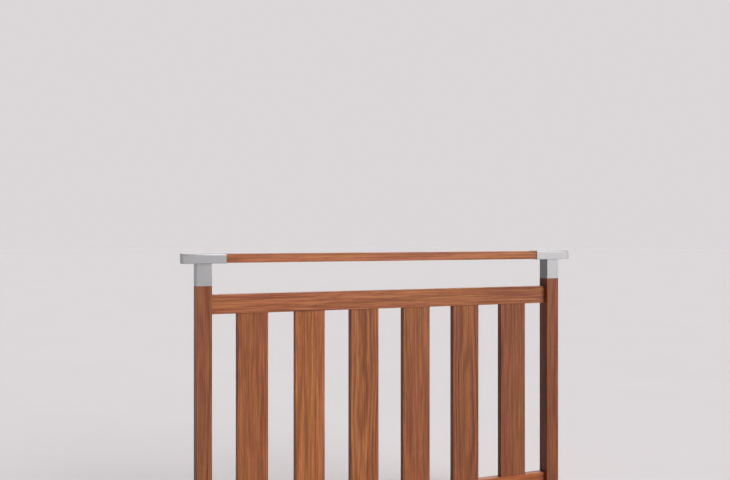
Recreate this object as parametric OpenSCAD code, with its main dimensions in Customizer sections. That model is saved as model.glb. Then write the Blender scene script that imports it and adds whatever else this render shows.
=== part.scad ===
// Slatted guard that stands in front of a tall window, a juliet balcony.
// Two timber posts on wall stand-offs carry a top rail, a bottom rail and six upright slats.
// A metal stub on each post carries a metal sleeve, and the two sleeves hold the handrail.
// X runs along the wall, +Y points into the wall and Z is up.
// The origin is the centre of the wall face of the lower left stand-off.

/* [Guard] */
// Width over the outer faces of the two posts
guard_w = 1269; // [1000:1:1800]
// Height from the underside of the foot caps to the top of the handrail sleeves
guard_h = 900; // [700:1:1200]
// Height of the underside of the bottom rail above the underside of the foot caps
foot_h = 62.5; // [50:0.5:150]
// Distance of the top of the top rail below the tops of the posts
top_drop = 27; // [5:1:60]

/* [Posts] */
// Width and depth of a post
post_w = 46.5; // [45:0.5:60]
// Thickness of the plate of a foot cap
foot_cap_t = 3; // [2:0.5:6]
// Height of the plug that holds a foot cap in its post
foot_plug_h = 14; // [8:1:20]

/* [Rails] */
// Height of the top and bottom rails
rail_h = 59; // [50:1:80]
// Depth of the top and bottom rails
rail_d = 28; // [26:1:30]
// Distance of the front of the rails behind the front of the posts
rail_setback = 14; // [8:0.5:15]
// Height of the tenon on each end of a rail
rail_tenon_h = 40; // [30:1:45]
// Thickness of the tenon on each end of a rail
rail_tenon_t = 12; // [8:1:14]
// Length of the tenon on each end of a rail
rail_tenon_l = 11; // [6:0.5:11]

/* [Slats] */
// Width of a slat
slat_w = 97; // [60:1:110]
// Thickness of a slat
slat_t = 21; // [15:0.5:24]
// Distance of the front of the slats behind the front of the rails
slat_setback = 1.5; // [0.5:0.5:4]
// Clear gap between each post and the slat beside it
end_gap = 79.5; // [40:0.5:95]
// Width of the tenon on each end of a slat
slat_tenon_w = 70; // [40:1:80]
// Thickness of the tenon on each end of a slat
slat_tenon_t = 9; // [6:1:12]
// Length of the tenon on each end of a slat
slat_tenon_l = 15; // [10:1:20]

/* [Handrail] */
// Depth of the handrail, from front to back
handrail_d = 50; // [40:1:60]
// Thickness of the handrail
handrail_t = 27; // [22:1:40]
// Radius of the two upper edges of the handrail
handrail_round = 4; // [2:0.5:8]
// Free length between each end of the handrail and the plug of the end cap
handrail_end_gap = 2; // [1:0.5:6]

/* [Stubs and sleeves] */
// Height of the metal stub between a post and its sleeve
stub_h = 67; // [40:0.5:90]
// Wall of the stub
stub_wall = 3; // [2:0.5:4]
// Thickness of the floor of the stub
stub_floor = 4; // [3:0.5:6]
// Width and depth of the spigot under the stub, and of the plug on the foot cap
spigot_w = 20; // [16:1:20]
// Length of the spigot under the stub
spigot_l = 30; // [20:1:32]
// Wall of the handrail sleeve
sleeve_wall = 1.5; // [1:0.5:3]
// Reach of the sleeve past the outer face of its post
sleeve_out = 38.5; // [25:0.5:60]
// Reach of the sleeve past the inner face of its post
sleeve_in = 43; // [25:1:60]
// Thickness of the plate of a sleeve end cap
end_cap_t = 2; // [1.5:0.5:4]
// Length of the plug on a sleeve end cap
end_plug_l = 8; // [5:1:12]

/* [Wall fixings] */
// Clear distance between the wall and the backs of the posts, the length of a stand-off
wall_gap = 40; // [25:1:80]
// Diameter of a stand-off
standoff_d = 30; // [24:1:40]
// Diameter of the bolt hole through a stand-off and on into its post
bolt_hole_d = 11; // [9:0.5:13]
// Depth of the bolt hole in the post
bolt_hole_l = 25; // [15:1:35]

/* [Edges and fits] */
// Chamfer on the long edges of the timber
timber_ease = 1.5; // [0.5:0.5:2]
// Chamfer on the long edges of the metal
metal_ease = 0.5; // [0.3:0.1:1]
// Clearance on each side of a tenon, spigot or plug, and of the handrail in its sleeves
fit_gap = 0.2; // [0.1:0.05:0.5]
// Free depth past the end of a tenon, spigot or plug
end_clearance = 1; // [0.5:0.5:2]

/* [Hidden] */

$fn = 64;
timber = "sienna";
metal = "lightgray";
slat_count = 6;
// Cuts run this far past the face that they open, so that no skin is left on it
overrun = 1;

// Widths along the wall
post_pitch = guard_w - post_w;
clear_w = guard_w - 2 * post_w;
slat_pitch = (clear_w - 2 * end_gap - slat_w) / (slat_count - 1);

// Depths, all in front of the wall
post_back = -wall_gap;
post_front = post_back - post_w;
post_mid = (post_front + post_back) / 2;
rail_front = post_front + rail_setback;
rail_mid = rail_front + rail_d / 2;
slat_mid = rail_front + slat_setback + slat_t / 2;

// Section of the sleeves
sleeve_bore_d = handrail_d + 2 * fit_gap;
sleeve_bore_h = handrail_t + 2 * fit_gap;
sleeve_d = sleeve_bore_d + 2 * sleeve_wall;
sleeve_h = sleeve_bore_h + 2 * sleeve_wall;
sleeve_l = sleeve_out + post_w + sleeve_in;
sleeve_bore_round = handrail_round + fit_gap;
sleeve_round = sleeve_bore_round + sleeve_wall;

// Heights, from the middle of the bottom rail
foot_z = -rail_h / 2 - foot_h;
post_z0 = foot_z + foot_cap_t;
sleeve_z0 = foot_z + guard_h - sleeve_h;
sleeve_mid_z = sleeve_z0 + sleeve_h / 2;
post_z1 = sleeve_z0 - stub_h;
bottom_rail_z = 0;
top_rail_z = post_z1 - top_drop - rail_h / 2;
slat_z0 = bottom_rail_z + rail_h / 2;
slat_z1 = top_rail_z - rail_h / 2;

// A rectangle about the centre with its four corners cut off
function eased(w, d, ease) = [
    [-w / 2 + ease, -d / 2], [w / 2 - ease, -d / 2], [w / 2, -d / 2 + ease], [w / 2, d / 2 - ease],
    [w / 2 - ease, d / 2], [-w / 2 + ease, d / 2], [-w / 2, d / 2 - ease], [-w / 2, -d / 2 + ease]
];

// A rectangle about the centre with its two upper corners rounded and its two lower corners cut off
module rounded_top(w, h, radius, ease) {
    polygon([
        [-w / 2 + ease, -h / 2], [w / 2 - ease, -h / 2], [w / 2, -h / 2 + ease], [w / 2, h / 2 - radius],
        [w / 2 - radius, h / 2], [-w / 2 + radius, h / 2], [-w / 2, h / 2 - radius], [-w / 2, -h / 2 + ease]
    ]);
    for (side = [-1, 1]) translate([side * (w / 2 - radius), h / 2 - radius]) circle(radius);
}

// An upright bar with eased edges, from z0 to z1
module upright(w, d, z0, z1, ease)
    translate([0, 0, z0]) linear_extrude(z1 - z0) polygon(eased(w, d, ease));

// A section drawn in Y and Z, run along X from x0 to x1
module along_x(x0, x1)
    translate([x0, 0, 0]) rotate([90, 0, 90]) linear_extrude(x1 - x0) children();

// A plain box from x0 to x1, centred on Y and Z
module level_box(d, h, x0, x1)
    translate([x0, -d / 2, -h / 2]) cube([x1 - x0, d, h]);

// A plain upright box from z0 to z1, centred on X and Y
module upright_box(w, d, z0, z1)
    translate([-w / 2, -d / 2, z0]) cube([w, d, z1 - z0]);

// Children drawn at the left post, or mirrored at the right post
module at_post(right)
    if (right) translate([post_pitch, 0, 0]) mirror([1, 0, 0]) children();
    else children();

// The hole for a rail's tenon in the inner face of a post
module rail_mortise(z)
    translate([0, rail_mid, z])
        level_box(rail_tenon_t + 2 * fit_gap, rail_tenon_h + 2 * fit_gap,
                  post_w / 2 - rail_tenon_l - end_clearance, post_w / 2 + overrun);

// The blind hole for a wall bolt in the back of a post
module post_bolt_hole(z)
    translate([0, post_back + overrun, z]) rotate([90, 0, 0])
        cylinder(h = bolt_hole_l + overrun, d = bolt_hole_d);

module post()
    difference() {
        translate([0, post_mid, 0]) upright(post_w, post_w, post_z0, post_z1, timber_ease);
        for (z = [bottom_rail_z, top_rail_z]) {
            rail_mortise(z);
            post_bolt_hole(z);
        }
        translate([0, post_mid, 0]) {
            upright_box(spigot_w + 2 * fit_gap, spigot_w + 2 * fit_gap,
                        post_z1 - spigot_l - end_clearance, post_z1 + overrun);
            upright_box(spigot_w + 2 * fit_gap, spigot_w + 2 * fit_gap,
                        post_z0 - overrun, post_z0 + foot_plug_h + end_clearance);
        }
    }

module foot_cap()
    translate([0, post_mid, 0]) {
        upright(post_w, post_w, foot_z, post_z0, metal_ease);
        upright_box(spigot_w, spigot_w, post_z0 - foot_cap_t / 2, post_z0 + foot_plug_h);
    }

module rail_body(z)
    translate([0, rail_mid, z]) {
        along_x(post_w / 2, post_pitch - post_w / 2) polygon(eased(rail_d, rail_h, timber_ease));
        level_box(rail_tenon_t, rail_tenon_h,
                  post_w / 2 - rail_tenon_l, post_pitch - post_w / 2 + rail_tenon_l);
    }

// Middle of slat i, counted from 0 at the left post
function slat_x(i) = post_w / 2 + end_gap + slat_w / 2 + i * slat_pitch;

// The holes for the slats' tenons, from z0 to z1
module slat_mortises(z0, z1)
    for (i = [0 : slat_count - 1])
        translate([slat_x(i), slat_mid, 0])
            upright_box(slat_tenon_w + 2 * fit_gap, slat_tenon_t + 2 * fit_gap, z0, z1);

module slat(i)
    color(timber) translate([slat_x(i), slat_mid, 0]) {
        upright(slat_w, slat_t, slat_z0, slat_z1, timber_ease);
        upright_box(slat_tenon_w, slat_tenon_t, slat_z0 - slat_tenon_l, slat_z1 + slat_tenon_l);
    }

module stub()
    translate([0, post_mid, 0]) {
        difference() {
            upright(post_w, post_w, post_z1, sleeve_z0, metal_ease);
            upright_box(post_w - 2 * stub_wall, post_w - 2 * stub_wall,
                        post_z1 + stub_floor, sleeve_z0 + overrun);
        }
        upright_box(spigot_w, spigot_w, post_z1 - spigot_l, post_z1 + stub_floor / 2);
    }

module sleeve()
    translate([-post_w / 2 - sleeve_out, post_mid, sleeve_mid_z])
        difference() {
            along_x(0, sleeve_l) rounded_top(sleeve_d, sleeve_h, sleeve_round, metal_ease);
            along_x(-overrun, sleeve_l + overrun)
                rounded_top(sleeve_bore_d, sleeve_bore_h, sleeve_bore_round, timber_ease);
        }

module sleeve_cap()
    translate([-post_w / 2 - sleeve_out, post_mid, sleeve_mid_z]) {
        along_x(-end_cap_t, 0) rounded_top(sleeve_d, sleeve_h, sleeve_round, metal_ease);
        along_x(-end_cap_t / 2, end_plug_l)
            rounded_top(handrail_d, handrail_t, handrail_round, timber_ease);
    }

// The stand-off behind a post, with a light chamfer at both ends and the bolt hole through it
module standoff(z)
    translate([0, 0, z]) rotate([90, 0, 0])
        rotate_extrude()
            polygon([
                [bolt_hole_d / 2, 0], [standoff_d / 2 - metal_ease, 0],
                [standoff_d / 2, metal_ease], [standoff_d / 2, wall_gap - metal_ease],
                [standoff_d / 2 - metal_ease, wall_gap], [bolt_hole_d / 2, wall_gap]
            ]);

module left_post() color(timber) at_post(false) post();
module right_post() color(timber) at_post(true) post();
module left_foot_cap() color(metal) at_post(false) foot_cap();
module right_foot_cap() color(metal) at_post(true) foot_cap();

module top_rail()
    color(timber) difference() {
        rail_body(top_rail_z);
        slat_mortises(slat_z1 - overrun, slat_z1 + slat_tenon_l + end_clearance);
    }

module bottom_rail()
    color(timber) difference() {
        rail_body(bottom_rail_z);
        slat_mortises(slat_z0 - slat_tenon_l - end_clearance, slat_z0 + overrun);
    }

module left_stub() color(metal) at_post(false) stub();
module right_stub() color(metal) at_post(true) stub();
module left_sleeve() color(metal) at_post(false) sleeve();
module right_sleeve() color(metal) at_post(true) sleeve();
module left_sleeve_cap() color(metal) at_post(false) sleeve_cap();
module right_sleeve_cap() color(metal) at_post(true) sleeve_cap();

module handrail()
    color(timber) translate([0, post_mid, sleeve_mid_z])
        along_x(-post_w / 2 - sleeve_out + end_plug_l + handrail_end_gap,
                post_pitch + post_w / 2 + sleeve_out - end_plug_l - handrail_end_gap)
            rounded_top(handrail_d, handrail_t, handrail_round, timber_ease);

module upper_left_standoff() color(metal) at_post(false) standoff(top_rail_z);
module upper_right_standoff() color(metal) at_post(true) standoff(top_rail_z);
module lower_left_standoff() color(metal) at_post(false) standoff(bottom_rail_z);
module lower_right_standoff() color(metal) at_post(true) standoff(bottom_rail_z);

left_post();
right_post();
left_foot_cap();
right_foot_cap();
top_rail();
bottom_rail();
for (i = [0 : slat_count - 1])
    slat(i);
left_stub();
right_stub();
left_sleeve();
right_sleeve();
left_sleeve_cap();
right_sleeve_cap();
handrail();
upper_left_standoff();
upper_right_standoff();
lower_left_standoff();
lower_right_standoff();
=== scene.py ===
"""Looks of a slatted timber guard for a tall window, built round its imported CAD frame."""

import math

import bmesh
import bpy
from mathutils import Euler, Matrix, Vector


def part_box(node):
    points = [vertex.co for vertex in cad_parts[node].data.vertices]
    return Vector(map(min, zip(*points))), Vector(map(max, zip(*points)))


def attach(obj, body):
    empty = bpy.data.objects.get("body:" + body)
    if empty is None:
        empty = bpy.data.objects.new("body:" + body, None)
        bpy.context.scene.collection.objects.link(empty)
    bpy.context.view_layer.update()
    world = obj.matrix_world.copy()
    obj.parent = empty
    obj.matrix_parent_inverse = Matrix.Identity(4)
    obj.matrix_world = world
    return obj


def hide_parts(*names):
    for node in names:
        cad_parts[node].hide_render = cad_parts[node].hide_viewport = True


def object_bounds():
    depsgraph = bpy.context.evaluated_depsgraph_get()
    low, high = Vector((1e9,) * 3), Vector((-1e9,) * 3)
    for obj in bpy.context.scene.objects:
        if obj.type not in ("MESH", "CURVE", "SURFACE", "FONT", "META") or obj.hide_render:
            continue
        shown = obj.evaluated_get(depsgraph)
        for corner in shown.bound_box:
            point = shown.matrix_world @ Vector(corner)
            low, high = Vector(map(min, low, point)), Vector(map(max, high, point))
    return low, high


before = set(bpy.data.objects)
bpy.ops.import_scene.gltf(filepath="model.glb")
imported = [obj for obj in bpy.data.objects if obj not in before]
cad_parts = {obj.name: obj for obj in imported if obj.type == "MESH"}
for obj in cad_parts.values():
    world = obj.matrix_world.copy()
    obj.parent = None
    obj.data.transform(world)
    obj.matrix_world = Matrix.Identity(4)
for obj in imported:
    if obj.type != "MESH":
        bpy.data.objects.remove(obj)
CAD_BOX = [list(corner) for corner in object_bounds()]

bl_info = {
    "name": "Juliet Balcony Guard",
    "version": (1, 0, 0),
    "blender": (4, 5, 0),
    "location": "View3D > Sidebar > Guard",
    "description": "Timber and satin metal looks of a slatted window guard",
    "category": "Object",
}

SIDES = ("left", "right")
LEVELS = ("upper", "lower")
SLATS = sum(name.startswith("slat_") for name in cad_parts)
AXES = {"X": 0, "Y": 1, "Z": 2}

# Faces across each kind of rounding, and round a turned piece
TIMBER_ROUNDING = 4
METAL_ROUNDING = 6
END_ROUNDING = 2
TURNING = 64
# Two places nearer than this are one, and faces that meet at less than this angle are flat
SAME_PLACE = 1e-6
FLAT = 0.1


# ---------------------------------------------------------------- settings


class GuardTimber(bpy.types.PropertyGroup):
    """Shape and finish of the planed timber."""

    edge_radius: bpy.props.FloatProperty(
        name="Edge Radius", description="Rounding of the long edges", default=0.0011, min=0.0005,
        max=0.004, unit="LENGTH")
    handrail_radius: bpy.props.FloatProperty(
        name="Handrail Radius", description="Rounding of the upper edges of the handrail", default=0.004,
        min=0.001, max=0.008, unit="LENGTH")
    end_radius: bpy.props.FloatProperty(
        name="End Radius", description="Rounding round each sawn end, which leaves a fine line at a joint",
        default=0.0006, min=0.0002, max=0.002, unit="LENGTH")
    dark_tone: bpy.props.FloatVectorProperty(
        name="Dark Tone", description="Colour of the darkest streaks", subtype="COLOR",
        default=(0.115, 0.030, 0.010), min=0, max=1)
    middle_tone: bpy.props.FloatVectorProperty(
        name="Middle Tone", description="Colour of most of the wood", subtype="COLOR",
        default=(0.215, 0.063, 0.022), min=0, max=1)
    light_tone: bpy.props.FloatVectorProperty(
        name="Light Tone", description="Colour of the lightest streaks", subtype="COLOR",
        default=(0.310, 0.108, 0.040), min=0, max=1)
    ring_width: bpy.props.FloatProperty(
        name="Ring Width", description="Width of a growth ring", default=0.0065, min=0.001,
        max=0.02, unit="LENGTH")
    roughness: bpy.props.FloatProperty(
        name="Roughness", description="Roughness of the satin stain", default=0.5, min=0, max=1,
        subtype="FACTOR")


class GuardMetal(bpy.types.PropertyGroup):
    """Shape and finish of the metal pieces."""

    sleeve_wall: bpy.props.FloatProperty(
        name="Sleeve Wall", description="Wall of the handrail sleeves", default=0.0015, min=0.0005,
        max=0.004, unit="LENGTH")
    standoff_bevel: bpy.props.FloatProperty(
        name="Stand-off Bevel", description="Bevel round the rims of the stand-offs", default=0.001,
        min=0.0002, max=0.003, unit="LENGTH")
    bolt_hole: bpy.props.FloatProperty(
        name="Bolt Hole", description="Diameter of the hole through each stand-off", default=0.011,
        min=0.004, max=0.02, unit="LENGTH")
    upper_radius: bpy.props.FloatProperty(
        name="Upper Radius", description="Outer rounding of the sleeves' upper edges", default=0.0057,
        min=0.001, max=0.01, unit="LENGTH")
    lower_radius: bpy.props.FloatProperty(
        name="Lower Radius", description="Outer rounding of the sleeves' lower edges", default=0.0008,
        min=0.0002, max=0.004, unit="LENGTH")
    stub_radius: bpy.props.FloatProperty(
        name="Stub Corner Radius", description="Outer rounding of the stubs and foot caps", default=0.002,
        min=0.001, max=0.005, unit="LENGTH")
    rim_radius: bpy.props.FloatProperty(
        name="Rim Radius", description="Rounding of the cut rims", default=0.0004, min=0.0001,
        max=0.001, unit="LENGTH")
    tone: bpy.props.FloatVectorProperty(
        name="Tone", description="Colour of the satin aluminium", subtype="COLOR",
        default=(0.292, 0.292, 0.300), min=0, max=1)
    steel_tone: bpy.props.FloatVectorProperty(
        name="Steel Tone", description="Colour of the turned steel", subtype="COLOR",
        default=(0.50, 0.50, 0.51), min=0, max=1)
    roughness: bpy.props.FloatProperty(
        name="Roughness", description="Roughness of the satin aluminium", default=0.42, min=0, max=1,
        subtype="FACTOR")


class GuardStage(bpy.types.PropertyGroup):
    """Camera, lights and floor."""

    lens: bpy.props.FloatProperty(
        name="Lens", description="Focal length", default=41.58, min=10, max=200, subtype="DISTANCE_CAMERA")
    turn: bpy.props.FloatProperty(
        name="Turn", description="Turn of the camera to the right of straight on",
        default=math.radians(21.64), subtype="ANGLE")
    lens_rise: bpy.props.FloatProperty(
        name="Lens Rise", description="Vertical shift of the camera", default=-0.0078, min=-0.1, max=0.1)
    camera_place: bpy.props.FloatVectorProperty(
        name="Camera Place", description="Place of the camera from the guard's lower left fixing",
        default=(-0.48075, -2.5941, 0.8651), subtype="XYZ", unit="LENGTH")
    key_strength: bpy.props.FloatProperty(
        name="Key Strength", description="Strength of the soft light from the front right", default=3.1,
        min=0, max=20)
    top_strength: bpy.props.FloatProperty(
        name="Top Strength", description="Strength of the light from high above the front", default=2.1,
        min=0, max=20)
    rear_strength: bpy.props.FloatProperty(
        name="Rear Strength", description="Strength of the low light from behind", default=1.7, min=0,
        max=20)
    fill_strength: bpy.props.FloatProperty(
        name="Fill Strength", description="Strength of the light from the right-hand side", default=0.6,
        min=0, max=20)
    side_power: bpy.props.FloatProperty(
        name="Side Power", description="Power of the narrow lamp beside the left post", default=0.22, min=0,
        max=20)
    ambient: bpy.props.FloatProperty(
        name="Ambient", description="Strength of the even light from all round", default=0.08, min=0, max=2)
    backdrop: bpy.props.FloatProperty(
        name="Backdrop", description="Brightness of the backdrop, which meets the floor's", default=1.225,
        min=0, max=2)
    pale: bpy.props.FloatVectorProperty(
        name="Pale Tone", description="Colour of the floor and the backdrop", subtype="COLOR",
        default=(0.583, 0.559, 0.568), min=0, max=1)


# ---------------------------------------------------------------- node materials


class Wire:
    """An output socket that Python's operators can work on: each operator adds its Math node."""

    def __init__(self, look, socket):
        self.look = look
        self.socket = socket

    def maths(self, operation, *values):
        return self.look.node("ShaderNodeMath", {"operation": operation}, dict(enumerate(values)))

    def __add__(self, other):
        return self.maths("ADD", self, other)

    def __radd__(self, other):
        return self.maths("ADD", other, self)

    def __sub__(self, other):
        return self.maths("SUBTRACT", self, other)

    def __rsub__(self, other):
        return self.maths("SUBTRACT", other, self)

    def __mul__(self, other):
        return self.maths("MULTIPLY", self, other)

    def __rmul__(self, other):
        return self.maths("MULTIPLY", other, self)

    def __truediv__(self, other):
        return self.maths("DIVIDE", self, other)

    def __pow__(self, other):
        return self.maths("POWER", self, other)

    def clamp(self, low, high):
        return self.maths("MINIMUM", self.maths("MAXIMUM", self, low), high)

    def sine(self):
        return self.maths("SINE", self)


class Look:
    """One node material. node() makes any node, and surface() sets the sockets of its shader."""

    def __init__(self, name):
        self.material = bpy.data.materials.new(name)
        self.material.use_nodes = True
        self.tree = self.material.node_tree
        self.shader = self.tree.nodes["Principled BSDF"]

    def feed(self, socket, value):
        if isinstance(value, Wire):
            self.tree.links.new(value.socket, socket)
        elif socket.type == "RGBA":
            socket.default_value = (*value, 1) if len(value) == 3 else value
        else:
            socket.default_value = value

    def node(self, kind, settings=None, inputs=None, out=0):
        """A node's output: the settings come first, then the values or links of its sockets."""
        made = self.tree.nodes.new(kind)
        for name, value in (settings or {}).items():
            if name == "stops":
                set_stops(made.color_ramp, value)
            else:
                setattr(made, name, value)
        for name, value in (inputs or {}).items():
            self.feed(made.inputs[name], value)
        return Wire(self, made.outputs[out])

    def surface(self, **values):
        for name, value in values.items():
            self.feed(self.shader.inputs[name.replace("_", " ")], value)

    def noise(self, where, stretch, **inputs):
        """Noise on a vector that is scaled by stretch first."""
        scaled = self.node("ShaderNodeVectorMath", {"operation": "MULTIPLY"}, {0: where, 1: stretch})
        return self.node("ShaderNodeTexNoise", None, {"Vector": scaled, "Scale": 1, **inputs})

    def ramp(self, value, stops):
        return self.node("ShaderNodeValToRGB", {"stops": stops}, {"Fac": value})

    def mix(self, factor, first, second, blend="MIX"):
        """A mix of two colours."""
        return self.node("ShaderNodeMix", {"data_type": "RGBA", "blend_type": blend},
                         {0: factor, 6: first, 7: second}, out=2)

    def bump(self, height, strength, distance):
        return self.node("ShaderNodeBump", None,
                         {"Height": height, "Strength": strength, "Distance": distance})


def shade(tone, factor):
    """A tone made lighter or darker."""
    return [min(1, part * factor) for part in tone]


def set_stops(ramp, stops):
    """Gives a colour ramp its stops, each a place and a colour."""
    while len(ramp.elements) < len(stops):
        ramp.elements.new(0.5)
    for element, (place, colour) in zip(ramp.elements, stops):
        element.position = place
        element.color = (*colour, 1)


def centred(look, middle, turn=(0, 0, 0)):
    """Object coordinates from a piece's middle, turned."""
    turn = Euler(turn)
    place = -(turn.to_matrix() @ Vector(middle))
    where = look.node("ShaderNodeTexCoord", out="Object")
    return look.node("ShaderNodeMapping", None, {"Vector": where, "Location": place, "Rotation": turn})


# The layers of noise in the wood: how fine along the grain and across it, detail, roughness, and
# share in the tone
STREAKS = {
    "coarse": ((2.6, 95, 95), 4.0, 0.6, 0.95),
    "fine": ((5.5, 260, 260), 3.0, 0.6, 1.5),
    "bands": ((1.1, 20, 20), 2.0, 0.5, 0.45),
    "fibres": ((24, 950, 950), 3.0, 0.6, 0.6),
}
# Where the three tones lie on the scale from dark to light
TONE_STOPS = (0.12, 0.5, 0.88)
# The tint from a cool streak over a plain one to a warm one
WARMTH_STOPS = [(0.36, (1.04, 0.94, 1.10)), (0.5, (1.0, 1.0, 1.0)), (0.64, (0.98, 1.06, 0.82))]


def growth_rings(look, board, shifted, heart, ring_width):
    """A wave for each growth ring: distance from the log's heart, which wanders along the board."""
    wander = look.noise(shifted, (1.1, 4, 4), Detail=2.0, Roughness=0.45)
    ripple = look.noise(shifted, (6, 34, 34), Detail=3.0, Roughness=0.5)
    from_heart = look.node("ShaderNodeVectorMath", {"operation": "SUBTRACT"},
                           {0: board, 1: (0, *heart)})
    flat = look.node("ShaderNodeVectorMath", {"operation": "MULTIPLY"}, {0: from_heart, 1: (0, 1, 1)})
    radius = look.node("ShaderNodeVectorMath", {"operation": "LENGTH"}, {0: flat}, out="Value")
    age = (radius + wander * 0.05 + ripple * 0.004) / ring_width
    return ((age * (2 * math.pi)).sine() * 0.5 + 0.5) ** 1.6


def timber_look(name, middle, axis, log, tone, figure):
    """Satin stained hardwood whose grain runs along axis.

    log is where the board lay in its tree: how far the heart of the log is off the board's
    middle, behind its face and to one side, and how far along the tree the board was cut. tone
    tints the whole board, and figure is how bold its rings are.
    """
    timber = bpy.context.scene.guard_timber
    look = Look(name)
    # Grain along the new X, the board's depth along Y and its width along Z
    turn = (0, math.pi / 2, 0) if axis == "Z" else (0, 0, 0)
    board = centred(look, middle, turn)
    *heart, cut_at = log
    shifted = look.node("ShaderNodeVectorMath", {"operation": "ADD"}, {0: board, 1: (cut_at, 0, 0)})
    rings = growth_rings(look, board, shifted, heart, timber.ring_width)

    # The tone, from dark to light: rings, then each layer of streaks
    level = 0.5 + (rings - 0.42) * (-0.26 * figure)
    streaks = {}
    for layer, (stretch, detail, roughness, share) in STREAKS.items():
        streaks[layer] = look.noise(shifted, stretch, Detail=detail, Roughness=roughness)
        level = level + (streaks[layer] - 0.5) * share
    level = level.clamp(0, 1)
    tones = (timber.dark_tone, timber.middle_tone, timber.light_tone)
    colour = look.ramp(level, list(zip(TONE_STOPS, tones)))
    warmth = look.noise(shifted, (2.2, 75, 75), Detail=3.0, Roughness=0.55)
    warm = look.mix(1.0, colour, look.ramp(warmth, WARMTH_STOPS), "MULTIPLY")
    # The board's tone tints the colour. For the handrail it is partly painted light, lighter than the wood
    # itself.
    tinted = look.mix(1.0, warm, tone, "MULTIPLY")

    # Dark flecks and pores, as dashes along the grain
    flecks = look.noise(shifted, (16, 330, 330), Detail=2.0, Roughness=0.5)
    flecks = ((flecks - 0.55) * 8).clamp(0, 1)
    pores = ((streaks["fibres"] - 0.58) * 9).clamp(0, 1)
    dashed = look.mix((flecks * 0.45 + pores * 0.45).clamp(0, 1), tinted, timber.dark_tone)

    relief = (streaks["coarse"] * 0.4 + streaks["fine"] * 0.4 + streaks["fibres"] * 0.5
              - pores * 0.8 - flecks * 0.4 - rings * 0.25)
    look.surface(Base_Color=dashed, Specular_IOR_Level=0.25,
                 Roughness=timber.roughness + (0.5 - level) * 0.16 + pores * 0.12,
                 Normal=look.bump(relief, 0.55, 0.00022))
    return look.material


def satin_look(name, middle, axis, tone, roughness):
    """Satin anodised aluminium with a very fine brushing along axis."""
    look = Look(name)
    where = centred(look, middle)
    stretch = [2600.0, 2600.0, 2600.0]
    stretch[AXES[axis]] = 18.0
    brushing = look.noise(where, stretch, Detail=3.0, Roughness=0.55)
    clouds = look.noise(where, (14, 14, 14), Detail=3.0, Roughness=0.5)
    specks = look.noise(where, (420, 420, 420), Detail=2.0, Roughness=0.6)
    level = (0.5 + (clouds - 0.5) * 0.5 + (specks - 0.5) * 0.35 + (brushing - 0.5) * 0.35).clamp(0, 1)
    look.surface(Base_Color=look.mix(level, shade(tone, 0.93), shade(tone, 1.06)), Metallic=0.65,
                 Roughness=roughness + (clouds - 0.5) * 0.12 + (brushing - 0.5) * 0.1,
                 Normal=look.bump(brushing + specks * 0.5, 0.25, 0.00006))
    return look.material


def turned_look(name, middle, tone):
    """Turned stainless steel: fine rings across Y, left by the lathe."""
    look = Look(name)
    where = centred(look, middle)
    rings = look.noise(where, (6, 1500, 6), Detail=4.0, Roughness=0.6)
    clouds = look.noise(where, (60, 60, 60), Detail=3.0)
    level = (0.5 + (rings - 0.5) * 0.9 + (clouds - 0.5) * 0.4).clamp(0, 1)
    look.surface(Base_Color=look.mix(level, shade(tone, 0.82), shade(tone, 1.12)), Metallic=1.0,
                 Roughness=0.3 + (rings - 0.5) * 0.25,
                 Normal=look.bump(rings, 0.35, 0.00008))
    return look.material


# ---------------------------------------------------------------- shapes


def box_mesh(low, high):
    """A bmesh box from its low corner to its high corner."""
    bm = bmesh.new()
    bmesh.ops.create_cube(bm, size=1)
    low, high = Vector(low), Vector(high)
    bmesh.ops.scale(bm, vec=high - low, verts=bm.verts)
    bmesh.ops.translate(bm, vec=(low + high) / 2, verts=bm.verts)
    return bm


def round_edges(bm, edges, radius, segments):
    """Rounds edges with smooth shaded faces."""
    made = bmesh.ops.bevel(bm, geom=edges, offset=radius, affect="EDGES", segments=segments,
                           profile=0.5, material=-1, clamp_overlap=True)
    for face in made["faces"]:
        face.smooth = True


def along(bm, axis):
    """The edges that run along an axis."""
    across = [i for i in range(3) if i != AXES[axis]]
    return [edge for edge in bm.edges
            if all(abs(edge.verts[0].co[i] - edge.verts[1].co[i]) < SAME_PLACE for i in across)]


def rim(bm, axis, place):
    """The edges that lie in the plane across an axis at a place, without those inside a flat face."""
    i = AXES[axis]
    return [edge for edge in bm.edges
            if all(abs(vert.co[i] - place) < SAME_PLACE for vert in edge.verts)
            and edge.calc_face_angle(math.pi) > FLAT]


def round_long_edges(bm, axis, radius, segments, top_radius=None):
    """Rounds the edges along an axis, the upper ones by top_radius where it is given."""
    if top_radius is None:
        round_edges(bm, along(bm, axis), radius, segments)
        return
    level = sum(vert.co.z for vert in bm.verts) / len(bm.verts)
    lower = [edge for edge in along(bm, axis) if edge.verts[0].co.z < level]
    round_edges(bm, lower, radius, segments)
    upper = [edge for edge in along(bm, axis) if edge.verts[0].co.z > level]
    round_edges(bm, upper, top_radius, segments)


def bar(low, high, axis, radius, end_radius, segments, top_radius=None):
    """A solid bar along an axis with rounded long edges and lightly rounded ends."""
    bm = box_mesh(low, high)
    round_long_edges(bm, axis, radius, segments, top_radius)
    for place in (low[AXES[axis]], high[AXES[axis]]):
        round_edges(bm, rim(bm, axis, place), end_radius, END_ROUNDING)
    return bm


def sheath(low, high, radius, top_radius):
    """The long faces of a bar along X, open at both ends."""
    bm = box_mesh(low, high)
    ends = [face for face in bm.faces if abs(face.normal.x) > 0.5]
    bmesh.ops.delete(bm, geom=ends, context="FACES_ONLY")
    round_long_edges(bm, "X", radius, METAL_ROUNDING, top_radius)
    return bm


def joined(*parts):
    """One bmesh made of several."""
    whole = bmesh.new()
    for part in parts:
        mesh = bpy.data.meshes.new("part")
        part.to_mesh(mesh)
        part.free()
        whole.from_mesh(mesh)
        bpy.data.meshes.remove(mesh)
    return whole


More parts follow.
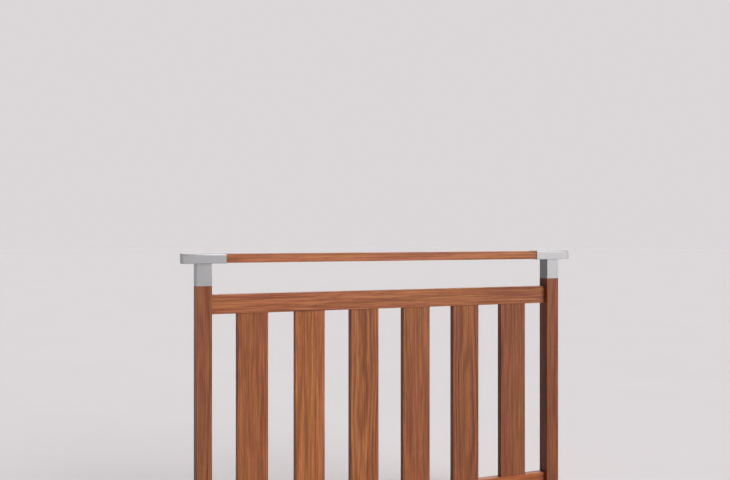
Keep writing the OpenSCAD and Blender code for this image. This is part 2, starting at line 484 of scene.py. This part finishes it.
def tube(low, high, wall, radius, top_radius, rim_radius):
    """A tube along X with rounded edges, open at both ends."""
    inset = Vector((0, wall, wall))
    outer = sheath(low, high, radius, top_radius)
    inner = sheath(Vector(low) + inset, Vector(high) - inset, radius, top_radius - wall)
    bmesh.ops.reverse_faces(inner, faces=inner.faces)
    bm = joined(outer, inner)
    for place in (low[0], high[0]):
        bmesh.ops.bridge_loops(bm, edges=rim(bm, "X", place))
    bmesh.ops.recalc_face_normals(bm, faces=bm.faces)
    for place in (low[0], high[0]):
        round_edges(bm, rim(bm, "X", place), rim_radius, END_ROUNDING)
    return bm


def turned(profile, foot):
    """A closed outline of (radius, height) points spun round a line from foot along +Y."""
    bm = bmesh.new()
    verts = [bm.verts.new((radius, 0, height)) for radius, height in profile]
    edges = [bm.edges.new((verts[i - 1], verts[i])) for i in range(len(verts))]
    bmesh.ops.spin(bm, geom=verts + edges, axis=(0, 0, 1), cent=(0, 0, 0), angle=2 * math.pi,
                   steps=TURNING, use_merge=True)
    bmesh.ops.remove_doubles(bm, verts=bm.verts, dist=SAME_PLACE)
    bmesh.ops.recalc_face_normals(bm, faces=bm.faces)
    turn = Vector((0, 1, 0)).to_track_quat("Z", "Y").to_matrix().to_4x4()
    bmesh.ops.transform(bm, matrix=Matrix.Translation(foot) @ turn, verts=bm.verts)
    return bm


def add_piece(name, bm, material, node):
    """Puts a finished mesh in the scene as a piece that stands for a CAD node."""
    mesh = bpy.data.meshes.new(name)
    bm.to_mesh(mesh)
    bm.free()
    mesh.materials.append(material)
    piece = bpy.data.objects.new(name, mesh)
    bpy.context.scene.collection.objects.link(piece)
    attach(piece, "root")
    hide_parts(node)


def middle_of(low, high):
    """The middle of a box."""
    return (Vector(low) + Vector(high)) / 2


def span(low, high, **ends):
    """A box's two corners with the ends named x0, x1, y0, y1, z0 or z1 moved."""
    corners = [Vector(low), Vector(high)]
    for name, value in ends.items():
        corners[int(name[1])]["xyz".index(name[0])] = value
    return corners


# ---------------------------------------------------------------- pieces


# Where each timber piece lay in its log, its tone and how bold its figure is. The handrail's light tone is
# partly painted light.
BOARDS = {
    "left_post": ((0.085, 0.030, 0.3), (0.78, 0.81, 0.82), 0.7),
    "right_post": ((0.090, -0.035, 2.1), (0.76, 0.70, 0.62), 0.7),
    "top_rail": ((0.080, 0.020, 3.7), (1.20, 1.28, 1.30), 0.5),
    "bottom_rail": ((0.095, -0.015, 5.2), (1.46, 1.32, 0.92), 0.6),
    # Painted light: the handrail's tone is lighter so that it looks less shaded than the slats and rails
    # below it.
    "handrail": ((0.090, 0.045, 6.4), (1.30, 1.40, 1.50), 0.4),
    "slat_1": ((0.120, 0.060, 7.9), (1.00, 1.03, 0.97), 0.4),
    "slat_2": ((0.120, 0.055, 9.3), (1.20, 1.26, 1.08), 0.5),
    "slat_3": ((0.050, 0.010, 11.0), (1.08, 1.12, 1.00), 1.3),
    "slat_4": ((0.120, -0.060, 12.6), (0.98, 1.00, 0.92), 0.35),
    "slat_5": ((0.055, -0.012, 14.1), (0.86, 0.85, 0.74), 1.4),
    "slat_6": ((0.130, 0.070, 15.8), (0.85, 0.83, 0.74), 0.35),
}


def add_board(node, axis, slot, top_radius=None, **ends):
    """A planed board in place of a CAD node; ends cut off the tenons, which are out of sight."""
    timber = bpy.context.scene.guard_timber
    low, high = span(*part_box(node), **ends)
    log, tone, figure = BOARDS[node]
    look = timber_look(f"{node}_wood", middle_of(low, high), axis, log, tone, figure)
    board = bar(low, high, axis, timber.edge_radius, timber.end_radius, TIMBER_ROUNDING, top_radius)
    add_piece(f"{node}_board", board, look, node)


def add_block(node, axis, radius, top_radius=None, **ends):
    """A satin metal block in place of a CAD node, without the plug that its neighbour hides."""
    metal = bpy.context.scene.guard_metal
    low, high = span(*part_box(node), **ends)
    look = satin_look(f"{node}_satin", middle_of(low, high), axis, metal.tone, metal.roughness)
    block = bar(low, high, axis, radius, metal.rim_radius, METAL_ROUNDING, top_radius)
    add_piece(f"{node}_cover", block, look, node)


class GUARD_OT_posts(bpy.types.Operator):
    """Adds the two posts."""

    bl_idname = "guard.posts"
    bl_label = "Posts"

    def execute(self, context):
        for side in SIDES:
            add_board(f"{side}_post", "Z", "post_timber")
        return {"FINISHED"}


class GUARD_OT_rails(bpy.types.Operator):
    """Adds the top and bottom rails, from post to post."""

    bl_idname = "guard.rails"
    bl_label = "Rails"

    def execute(self, context):
        left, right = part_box("left_post")[1].x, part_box("right_post")[0].x
        for rail in ("top_rail", "bottom_rail"):
            add_board(rail, "X", "rail_timber", x0=left, x1=right)
        return {"FINISHED"}


class GUARD_OT_slats(bpy.types.Operator):
    """Adds the upright slats, from rail to rail."""

    bl_idname = "guard.slats"
    bl_label = "Slats"

    def execute(self, context):
        bottom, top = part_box("bottom_rail")[1].z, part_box("top_rail")[0].z
        for i in range(SLATS):
            add_board(f"slat_{i + 1}", "Z", "slat_timber", z0=bottom, z1=top)
        return {"FINISHED"}


class GUARD_OT_handrail(bpy.types.Operator):
    """Adds the handrail, whose ends are inside the sleeves."""

    bl_idname = "guard.handrail"
    bl_label = "Handrail"

    def execute(self, context):
        add_board("handrail", "X", "handrail_timber", context.scene.guard_timber.handrail_radius)
        return {"FINISHED"}


class GUARD_OT_sleeves(bpy.types.Operator):
    """Adds the sleeves that hold the handrail and their end caps."""

    bl_idname = "guard.sleeves"
    bl_label = "Handrail Sleeves"

    def execute(self, context):
        metal = context.scene.guard_metal
        for side in SIDES:
            node = f"{side}_sleeve"
            low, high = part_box(node)
            look = satin_look(f"{node}_satin", middle_of(low, high), "X", metal.tone, metal.roughness)
            shell = tube(low, high, metal.sleeve_wall, metal.lower_radius, metal.upper_radius,
                         metal.rim_radius)
            add_piece(f"{node}_tube", shell, look, node)
            cap_end = {"x1": low.x} if side == "left" else {"x0": high.x}
            add_block(f"{side}_sleeve_cap", "X", metal.lower_radius, metal.upper_radius, **cap_end)
        return {"FINISHED"}


class GUARD_OT_stubs(bpy.types.Operator):
    """Adds the metal stubs between the posts and the sleeves."""

    bl_idname = "guard.stubs"
    bl_label = "Stubs"

    def execute(self, context):
        for side in SIDES:
            post_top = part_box(f"{side}_post")[1].z
            add_block(f"{side}_stub", "Z", context.scene.guard_metal.stub_radius, z0=post_top)
        return {"FINISHED"}


class GUARD_OT_feet(bpy.types.Operator):
    """Adds the caps under the posts."""

    bl_idname = "guard.feet"
    bl_label = "Foot Caps"

    def execute(self, context):
        for side in SIDES:
            post_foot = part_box(f"{side}_post")[0].z
            add_block(f"{side}_foot_cap", "Z", context.scene.guard_metal.stub_radius, z1=post_foot)
        return {"FINISHED"}


class GUARD_OT_standoffs(bpy.types.Operator):
    """Adds the turned stand-offs between the posts and the wall."""

    bl_idname = "guard.standoffs"
    bl_label = "Wall Stand-offs"

    def execute(self, context):
        metal = context.scene.guard_metal
        bevel, bore = metal.standoff_bevel, metal.bolt_hole / 2
        for side in SIDES:
            for level in LEVELS:
                node = f"{level}_{side}_standoff"
                low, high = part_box(node)
                radius, length = (high.x - low.x) / 2, high.y - low.y
                outline = [(bore + bevel / 2, 0), (radius - bevel, 0), (radius, bevel),
                           (radius, length - bevel), (radius - bevel, length), (bore + bevel / 2, length),
                           (bore, length - bevel / 2), (bore, bevel / 2)]
                middle = middle_of(low, high)
                foot = Vector((middle.x, low.y, middle.z))
                look = turned_look(f"{node}_steel", middle, metal.steel_tone)
                add_piece(f"{node}_turning", turned(outline, foot), look, node)
        return {"FINISHED"}


# ---------------------------------------------------------------- stage


# The distant lights: softness, azimuth and elevation in degrees, and colour. Azimuth 0 shines
# from straight in front and grows to the right.
LIGHTS = {
    "key": (50, 36, 22, (1.0, 0.985, 0.975)),
    "top": (30, 30, 68, (1.0, 0.99, 0.985)),
    "rear": (50, 165, 12, (0.985, 0.99, 1.0)),
    "fill": (60, 112, 25, (1.0, 0.99, 0.985)),
}
# The narrow upright lamp: its height, how far it stands beside the guard, and its spread in degrees
STRIP_HEIGHT = 0.35
STRIP_DISTANCE = 0.35
STRIP_SPREAD = 80

SENSOR_WIDTH = 36
FLOOR_RADIUS = 60
FLOOR_SIDES = 128


def place_light(name, lamp, turn, place=(0, 0, 0)):
    """Puts a lamp in the scene."""
    light = bpy.data.objects.new(name, lamp)
    light.location, light.rotation_euler = place, turn
    bpy.context.scene.collection.objects.link(light)
    return light


def add_lights(stage, low):
    """The distant lights, and the narrow lamp beside the left post, which isn't seen itself."""
    for name, (softness, azimuth, elevation, colour) in LIGHTS.items():
        lamp = bpy.data.lights.new(name, "SUN")
        lamp.energy, lamp.angle = getattr(stage, f"{name}_strength"), math.radians(softness)
        lamp.color = colour
        place_light(name, lamp, (math.radians(90 - elevation), 0, math.radians(azimuth)))

    post_low, post_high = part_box("left_post")
    lamp = bpy.data.lights.new("side", "AREA")
    lamp.shape, lamp.energy, lamp.spread = "RECTANGLE", stage.side_power, math.radians(STRIP_SPREAD)
    lamp.size, lamp.size_y = STRIP_HEIGHT, post_high.y - post_low.y
    beside = (low.x - STRIP_DISTANCE, (post_low.y + post_high.y) / 2, post_high.z)
    place_light("side", lamp, (0, -math.pi / 2, 0), beside).visible_camera = False


def add_camera(stage):
    """The level camera, in front of the guard and to its left."""
    lens = bpy.data.cameras.new("camera")
    lens.lens, lens.sensor_width, lens.shift_y = stage.lens, SENSOR_WIDTH, stage.lens_rise
    camera = bpy.data.objects.new("camera", lens)
    camera.location = stage.camera_place
    camera.rotation_euler = (math.pi / 2, 0, -stage.turn)
    bpy.context.scene.collection.objects.link(camera)
    bpy.context.scene.camera = camera


def pale_look(tone):
    """The floor's matt pale finish."""
    look = Look("pale_floor")
    where = look.node("ShaderNodeTexCoord", out="Object")
    clouds = look.noise(where, (1.5, 1.5, 1.5), Detail=3.0)
    grain = look.noise(where, (160, 160, 160), Detail=3.0)
    look.surface(Base_Color=look.mix(clouds, shade(tone, 0.98), shade(tone, 1.02)), Roughness=0.9,
                 Specular_IOR_Level=0.0, Normal=look.bump(grain, 0.1, 0.0005))
    return look.material


def add_floor(stage, height):
    """A wide round floor under the guard's feet."""
    bm = bmesh.new()
    bmesh.ops.create_circle(bm, cap_ends=True, radius=FLOOR_RADIUS, segments=FLOOR_SIDES)
    bmesh.ops.translate(bm, vec=(0, 0, height), verts=bm.verts)
    mesh = bpy.data.meshes.new("floor")
    bm.to_mesh(mesh)
    bm.free()
    mesh.materials.append(pale_look(stage.pale))
    floor = bpy.data.objects.new("floor", mesh)
    bpy.context.scene.collection.objects.link(floor)


def add_surroundings(stage):
    """A faint even light from all round, with a brighter backdrop that only the camera sees."""
    world = bpy.data.worlds.new("pale_room")
    world.use_nodes = True
    nodes, links = world.node_tree.nodes, world.node_tree.links
    even, seen = nodes["Background"], nodes.new("ShaderNodeBackground")
    for background, strength in ((even, stage.ambient), (seen, stage.backdrop)):
        background.inputs["Color"].default_value = (*stage.pale, 1)
        background.inputs["Strength"].default_value = strength
    either, path = nodes.new("ShaderNodeMixShader"), nodes.new("ShaderNodeLightPath")
    links.new(path.outputs["Is Camera Ray"], either.inputs[0])
    links.new(even.outputs[0], either.inputs[1])
    links.new(seen.outputs[0], either.inputs[2])
    links.new(either.outputs[0], nodes["World Output"].inputs["Surface"])
    bpy.context.scene.world = world


class GUARD_OT_stage(bpy.types.Operator):
    """Adds the camera, the lights, the floor and the pale surroundings."""

    bl_idname = "guard.stage"
    bl_label = "Stage"

    def execute(self, context):
        stage = context.scene.guard_stage
        low = Vector(CAD_BOX[0])
        add_camera(stage)
        add_lights(stage, low)
        add_floor(stage, low.z)
        add_surroundings(stage)
        context.scene.view_settings.view_transform = "Standard"
        return {"FINISHED"}


class GUARD_PT_panel(bpy.types.Panel):
    """Lists the guard's sizes, finishes and pieces in the sidebar."""

    bl_label = "Juliet Balcony Guard"
    bl_idname = "GUARD_PT_panel"
    bl_space_type = "VIEW_3D"
    bl_region_type = "UI"
    bl_category = "Guard"

    def draw(self, context):
        layout = self.layout
        for group in SETTINGS:
            box = layout.box()
            for name in SETTINGS[group].__annotations__:
                box.prop(getattr(context.scene, group), name)
        for operator in OPERATORS:
            layout.operator(operator.bl_idname)


SETTINGS = {"guard_timber": GuardTimber, "guard_metal": GuardMetal, "guard_stage": GuardStage}
OPERATORS = (GUARD_OT_posts, GUARD_OT_rails, GUARD_OT_slats, GUARD_OT_handrail, GUARD_OT_sleeves,
             GUARD_OT_stubs, GUARD_OT_feet, GUARD_OT_standoffs, GUARD_OT_stage)


def register():
    for kind in (*SETTINGS.values(), *OPERATORS, GUARD_PT_panel):
        bpy.utils.register_class(kind)
    for name, kind in SETTINGS.items():
        setattr(bpy.types.Scene, name, bpy.props.PointerProperty(type=kind))


def unregister():
    for name in SETTINGS:
        delattr(bpy.types.Scene, name)
    for kind in (GUARD_PT_panel, *reversed(OPERATORS), *reversed(SETTINGS.values())):
        bpy.utils.unregister_class(kind)


def main():
    register()
    for operator in OPERATORS:
        family, name = operator.bl_idname.split(".")
        getattr(getattr(bpy.ops, family), name)()


if __name__ == "__main__":
    main()
